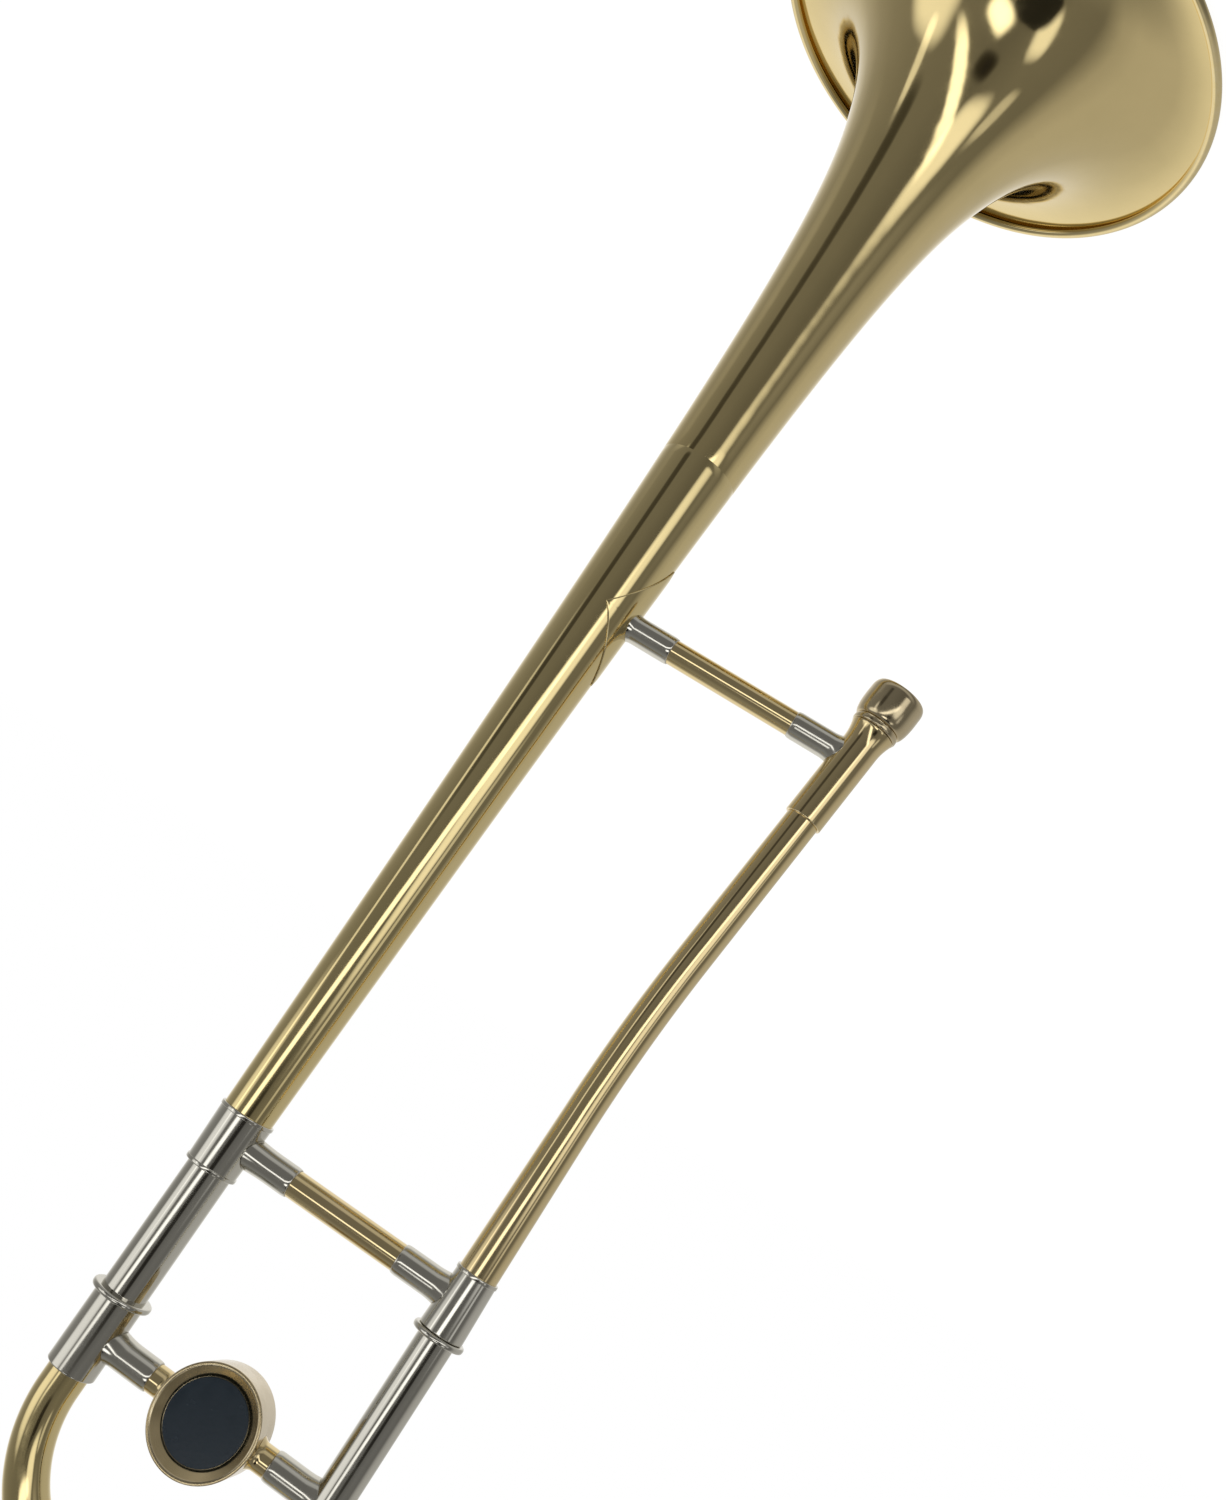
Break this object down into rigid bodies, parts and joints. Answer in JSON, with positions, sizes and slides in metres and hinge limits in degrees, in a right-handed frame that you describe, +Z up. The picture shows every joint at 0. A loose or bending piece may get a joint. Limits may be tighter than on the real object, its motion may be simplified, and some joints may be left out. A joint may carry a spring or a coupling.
{
  "type": "trombone bell section",
  "caption": "Bell section of a tenor slide trombone: flared brass bell, bent neckpipe with lock nut and tenon, braces, and a tuning slide that carries a drum counterweight.",
  "frame": {"origin": "centre of the bell mouth, in the plane that the rim stands on", "axes": "+Z up the bell axis from the mouth towards the tuning bow, +X from the bell axis towards the neckpipe, +Y completes a right-handed frame and is the side the counterweight's badge faces"},
  "size_m": [0.2273, 0.2032, 0.6952],
  "materials": {
    "lacquered_brass": "polished, clear lacquer",
    "nickel_silver": "polished, clear lacquer",
    "badge_enamel": "gloss"
  },
  "bodies": {
    "bell_section": {"bell_brace_saddle": "lacquered_brass", "bell_ferrule": "nickel_silver", "bell_flare": "lacquered_brass", "bell_side_end_ring": "nickel_silver", "bell_side_outer_tube": "nickel_silver", "bell_stem": "lacquered_brass", "lower_brace_bell_socket": "nickel_silver", "lower_brace_neck_socket": "nickel_silver", "lower_brace_tube": "lacquered_brass", "neck_ferrule": "nickel_silver", "neck_side_inner_leg": "nickel_silver", "neckpipe": "lacquered_brass", "rim_wire": "lacquered_brass", "slide_tenon": "lacquered_brass", "tenon_sleeve": "lacquered_brass", "upper_brace_bell_socket": "nickel_silver", "upper_brace_sleeve_socket": "nickel_silver", "upper_brace_tube": "lacquered_brass"},
    "tuning_slide": {"bell_side_inner_leg": "nickel_silver", "bell_side_slide_ferrule": "nickel_silver", "tuning_bow": "lacquered_brass", "neck_side_outer_tube": "nickel_silver", "neck_side_end_ring": "nickel_silver", "neck_side_bow_ferrule": "nickel_silver", "counterweight_bell_socket": "nickel_silver", "counterweight_neck_socket": "nickel_silver", "counterweight_bell_stub": "lacquered_brass", "counterweight_neck_stub": "lacquered_brass", "counterweight_drum": "lacquered_brass", "counterweight_badge": "badge_enamel"},
    "lock_nut": {"lock_nut": "lacquered_brass"}
  },
  "joints": [
    {"name": "tuning_slide_pull", "type": "slide", "parent": "bell_section", "child": "tuning_slide", "axis": [0, 0, 1], "range_m": [0, 0.055]},
    {"name": "lock_nut_spin", "type": "hinge", "parent": "bell_section", "child": "lock_nut", "pos_m": [0.1132, 0, 0.28976], "axis": [0.0958, 0, -0.9954], "continuous": true}
  ]
}
